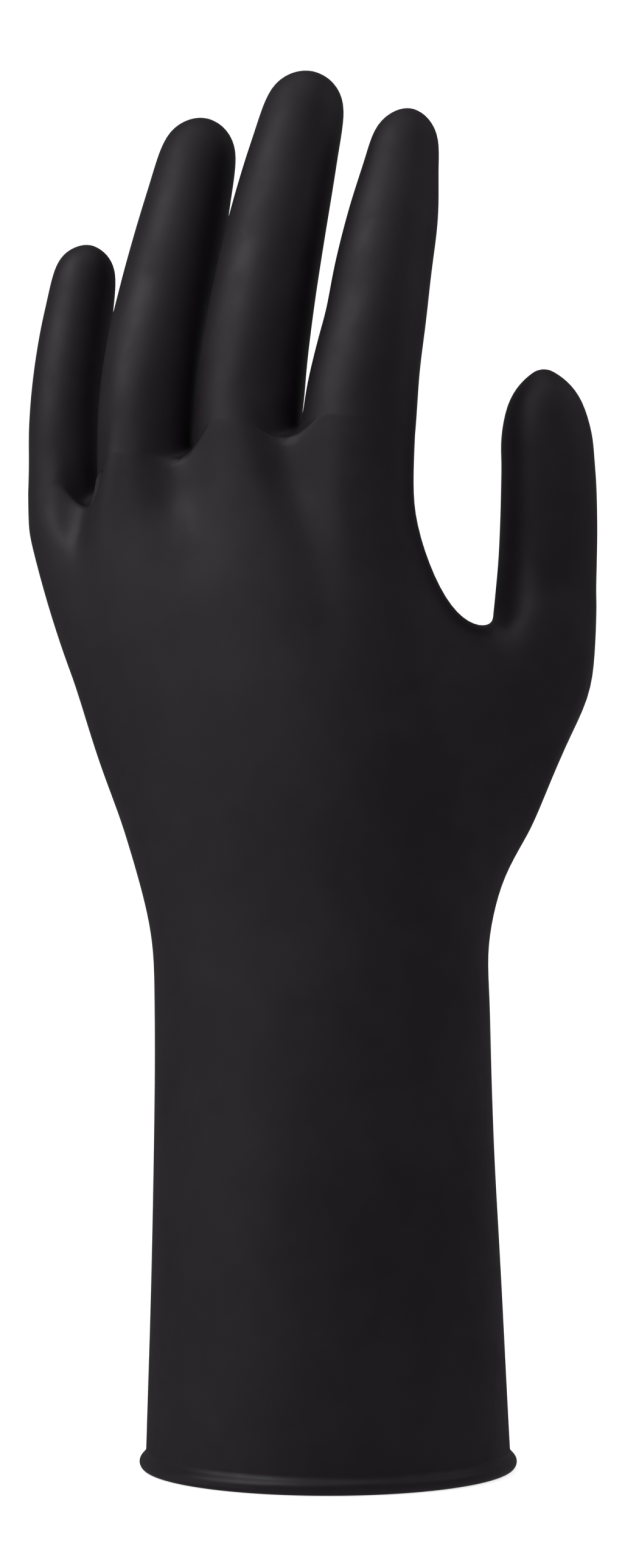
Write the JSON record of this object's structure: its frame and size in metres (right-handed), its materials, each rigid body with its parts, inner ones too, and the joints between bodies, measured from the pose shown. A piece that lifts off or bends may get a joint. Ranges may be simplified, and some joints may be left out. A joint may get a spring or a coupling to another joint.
{
  "type": "electrical insulating glove",
  "caption": "Left-hand electrical insulating glove of smooth moulded rubber with a long cuff, rolled rim and bending fingers and thumb, standing on its cuff.",
  "frame": {"origin": "on the floor under the middle of the whole glove's box, 11.5 mm to the little-finger side of the cuff's centre", "axes": "+Z from the cuff up to the fingertips, +X to the thumb side, -Y out of the back of the hand, +Y out of the palm"},
  "size_m": [0.1464, 0.097, 0.3606],
  "materials": {
    "charcoal_rubber": "satin",
    "bead_rubber": "satin"
  },
  "bodies": {
    "cuff": {"cuff_roll": "bead_rubber", "gauntlet": "charcoal_rubber", "wrist_fold": "charcoal_rubber"},
    "hand": {"hand": "charcoal_rubber", "little_root_fold": "charcoal_rubber", "ring_root_fold": "charcoal_rubber", "middle_root_fold": "charcoal_rubber", "index_root_fold": "charcoal_rubber", "thumb_root_fold": "charcoal_rubber"},
    "little_base": {"little_base": "charcoal_rubber", "little_middle_fold": "charcoal_rubber"},
    "little_tip": {"little_tip": "charcoal_rubber"},
    "ring_base": {"ring_base": "charcoal_rubber", "ring_middle_fold": "charcoal_rubber"},
    "ring_tip": {"ring_tip": "charcoal_rubber"},
    "middle_base": {"middle_base": "charcoal_rubber", "middle_middle_fold": "charcoal_rubber"},
    "middle_tip": {"middle_tip": "charcoal_rubber"},
    "index_base": {"index_base": "charcoal_rubber", "index_middle_fold": "charcoal_rubber"},
    "index_tip": {"index_tip": "charcoal_rubber"},
    "thumb_base": {"thumb_base": "charcoal_rubber", "thumb_middle_fold": "charcoal_rubber"},
    "thumb_tip": {"thumb_tip": "charcoal_rubber"}
  },
  "joints": [
    {"name": "wrist_flex", "type": "hinge", "parent": "cuff", "child": "hand", "pos_m": [0.00817, -0.00016, 0.141], "axis": [-1, 0, 0], "range_deg": [-20, 20], "stiffness_Nm_per_rad": 1.5, "deforming": ["wrist_fold"]},
    {"name": "little_root_bend", "type": "hinge", "parent": "hand", "child": "little_base", "pos_m": [-0.06295, -0.00233, 0.261], "axis": [-1, 0, 0], "range_deg": [-10, 60], "stiffness_Nm_per_rad": 0.1, "deforming": ["little_root_fold"]},
    {"name": "little_middle_bend", "type": "hinge", "parent": "little_base", "child": "little_tip", "pos_m": [-0.06356, 0.00144, 0.284], "axis": [-1, 0, 0], "range_deg": [-5, 70], "stiffness_Nm_per_rad": 0.06, "deforming": ["little_middle_fold"]},
    {"name": "ring_root_bend", "type": "hinge", "parent": "hand", "child": "ring_base", "pos_m": [-0.03587, -0.00839, 0.273], "axis": [-1, 0, 0], "range_deg": [-10, 60], "stiffness_Nm_per_rad": 0.1, "deforming": ["ring_root_fold"]},
    {"name": "ring_middle_bend", "type": "hinge", "parent": "ring_base", "child": "ring_tip", "pos_m": [-0.03548, 0.00172, 0.303], "axis": [-1, 0, 0], "range_deg": [-5, 70], "stiffness_Nm_per_rad": 0.06, "deforming": ["ring_middle_fold"]},
    {"name": "middle_root_bend", "type": "hinge", "parent": "hand", "child": "middle_base", "pos_m": [-0.00718, -0.00637, 0.277], "axis": [-1, 0, 0], "range_deg": [-10, 60], "stiffness_Nm_per_rad": 0.1, "deforming": ["middle_root_fold"]},
    {"name": "middle_middle_bend", "type": "hinge", "parent": "middle_base", "child": "middle_tip", "pos_m": [-0.00615, 0.00235, 0.309], "axis": [-1, 0, 0], "range_deg": [-5, 70], "stiffness_Nm_per_rad": 0.06, "deforming": ["middle_middle_fold"]},
    {"name": "index_root_bend", "type": "hinge", "parent": "hand", "child": "index_base", "pos_m": [0.0244, -0.00456, 0.277], "axis": [-1, 0, 0], "range_deg": [-10, 60], "stiffness_Nm_per_rad": 0.1, "deforming": ["index_root_fold"]},
    {"name": "index_middle_bend", "type": "hinge", "parent": "index_base", "child": "index_tip", "pos_m": [0.02418, 0.00646, 0.307], "axis": [-1, 0, 0], "range_deg": [-5, 70], "stiffness_Nm_per_rad": 0.06, "deforming": ["index_middle_fold"]},
    {"name": "thumb_root_bend", "type": "hinge", "parent": "hand", "child": "thumb_base", "pos_m": [0.05989, 0.02991, 0.228], "axis": [-0.2589, 0.9659, 0], "range_deg": [-35, 10], "stiffness_Nm_per_rad": 0.1, "deforming": ["thumb_root_fold"]},
    {"name": "thumb_middle_bend", "type": "hinge", "parent": "thumb_base", "child": "thumb_tip", "pos_m": [0.05966, 0.03076, 0.252], "axis": [-0.2589, 0.9659, 0], "range_deg": [-50, 5], "stiffness_Nm_per_rad": 0.06, "deforming": ["thumb_middle_fold"]}
  ]
}
